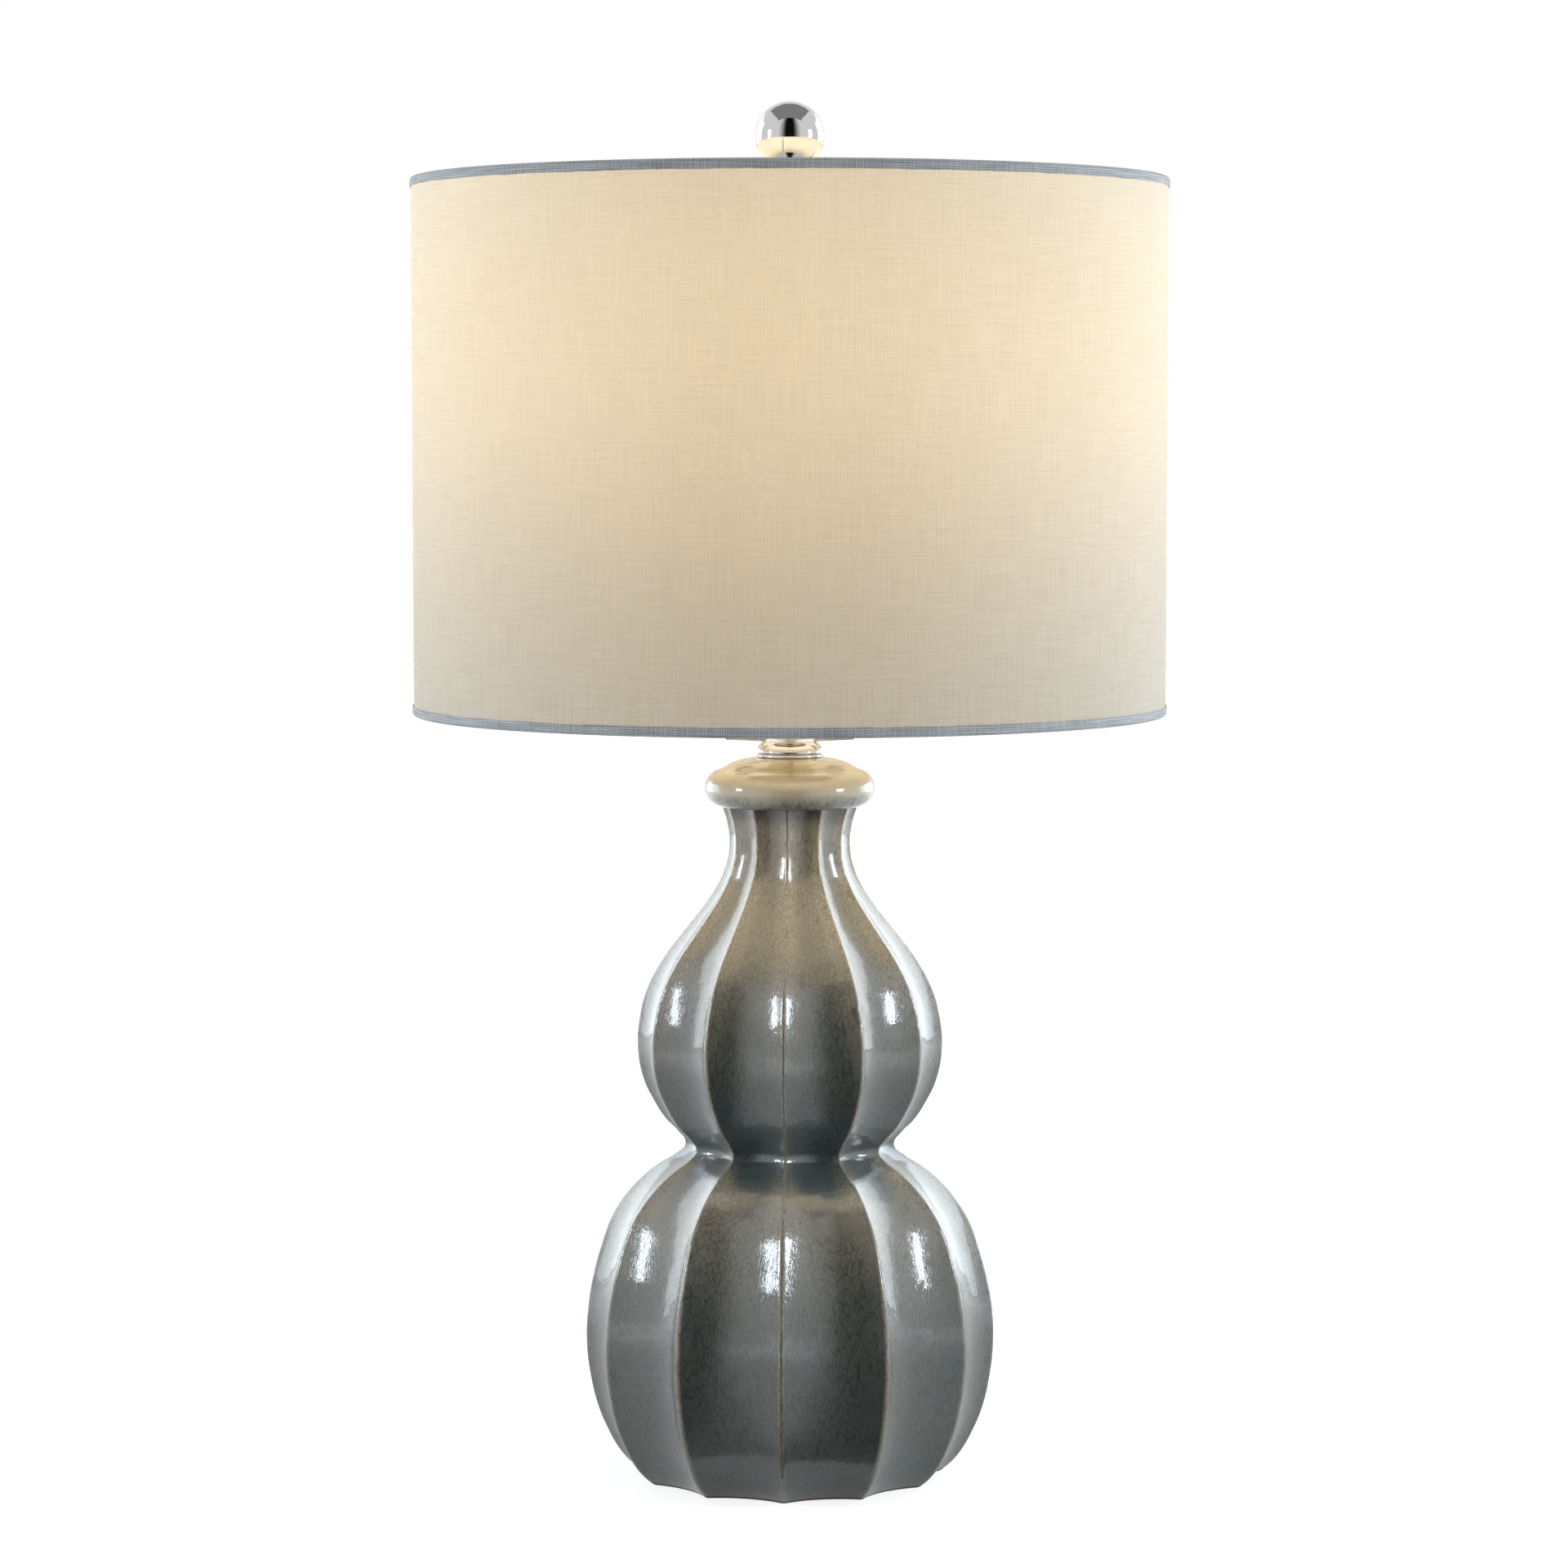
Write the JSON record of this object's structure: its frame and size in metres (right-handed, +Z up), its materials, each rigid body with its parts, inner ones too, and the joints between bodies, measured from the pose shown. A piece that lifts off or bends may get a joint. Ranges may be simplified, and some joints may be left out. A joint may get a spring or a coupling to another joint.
{
  "type": "table lamp",
  "caption": "Double gourd ceramic table lamp with fluted crackle-glazed body, round collar, linen drum shade on a harp and polished ball finial.",
  "frame": {"origin": "centre of the foot, on the surface the lamp stands on", "axes": "+Z up along the stem; -Y is the lamp's front, where the switch knob points; +X to the right seen from the front"},
  "size_m": [0.3809, 0.381, 0.6964],
  "materials": {
    "ceramic": "glossy crackle glaze",
    "felt": "felt",
    "bushing": "matte",
    "steel": "zinc plated",
    "chrome": "polished",
    "harp_metal": "nickel plated",
    "socket_metal": "nickel plated",
    "insulator": "matte",
    "phenolic": "satin",
    "thread_shell": "bright",
    "contact": "bright",
    "knob_black": "gloss",
    "bulb_metal": "bright",
    "bulb_plastic": "gloss",
    "bulb_diffuser": "milky",
    "linen": "woven linen",
    "liner": "translucent film",
    "hem_linen": "woven linen",
    "frame_wire": "satin white"
  },
  "bodies": {
    "base": {"ceramic_body": "ceramic", "felt_disc": "felt", "cord_bushing": "bushing", "stem": "steel", "floor_washer": "steel", "lock_washer": "steel", "floor_nut": "steel", "neck_disc": "chrome", "neck_cap": "chrome", "harp_saddle": "harp_metal", "saddle_nut": "steel", "harp": "harp_metal", "socket_cap": "socket_metal", "socket_set_screw": "steel", "socket_shell": "socket_metal", "socket_liner": "insulator", "socket_block": "phenolic", "screw_shell": "thread_shell", "centre_contact": "contact"},
    "switch": {"knob_shaft": "contact", "knob": "knob_black"},
    "left_ferrule": {"ferrule_left": "harp_metal"},
    "right_ferrule": {"ferrule_right": "harp_metal"},
    "bulb_seat": {"bulb_contact": "contact"},
    "bulb": {"bulb_cap": "bulb_metal", "bulb_body": "bulb_plastic", "bulb_dome": "bulb_diffuser"},
    "shade": {"harp_stud": "harp_metal", "shade_fabric": "linen", "shade_liner": "liner", "hem_top": "hem_linen", "hem_bottom": "hem_linen", "ring_top": "frame_wire", "ring_bottom": "frame_wire", "spider": "frame_wire"},
    "finial_core": {"finial_insert": "contact"},
    "finial": {"finial_ball": "chrome"}
  },
  "joints": [
    {"name": "switch_turn", "type": "hinge", "parent": "base", "child": "switch", "pos_m": [0, 0, 0.4081], "axis": [0, -1, 0], "continuous": true},
    {"name": "ferrule_left_slide", "type": "slide", "parent": "base", "child": "left_ferrule", "axis": [0, 0, 1], "range_m": [0, 0.018]},
    {"name": "ferrule_right_slide", "type": "slide", "parent": "base", "child": "right_ferrule", "axis": [0, 0, 1], "range_m": [0, 0.018]},
    {"name": "bulb_lift", "type": "slide", "parent": "base", "child": "bulb_seat", "axis": [0, 0, 1], "range_m": [0, 0.01635]},
    {"name": "bulb_turn", "type": "hinge", "parent": "bulb_seat", "child": "bulb", "pos_m": [0, 0, 0.4196], "axis": [0, 0, 1], "range_deg": [0, 1620]},
    {"name": "shade_swivel", "type": "hinge", "parent": "base", "child": "shade", "pos_m": [0, 0, 0.6442], "axis": [0, 0, 1], "continuous": true},
    {"name": "finial_lift", "type": "slide", "parent": "shade", "child": "finial_core", "axis": [0, 0, 1], "range_m": [0, 0.01319]},
    {"name": "finial_turn", "type": "hinge", "parent": "finial_core", "child": "finial", "pos_m": [0, 0, 0.6476], "axis": [0, 0, 1], "range_deg": [0, 5040]}
  ],
  "couplings": [
    {"joint": "bulb_lift", "follows": "bulb_turn", "m_per_rad": 0.0005775},
    {"joint": "finial_lift", "follows": "finial_turn", "m_per_rad": 0.00014972}
  ]
}
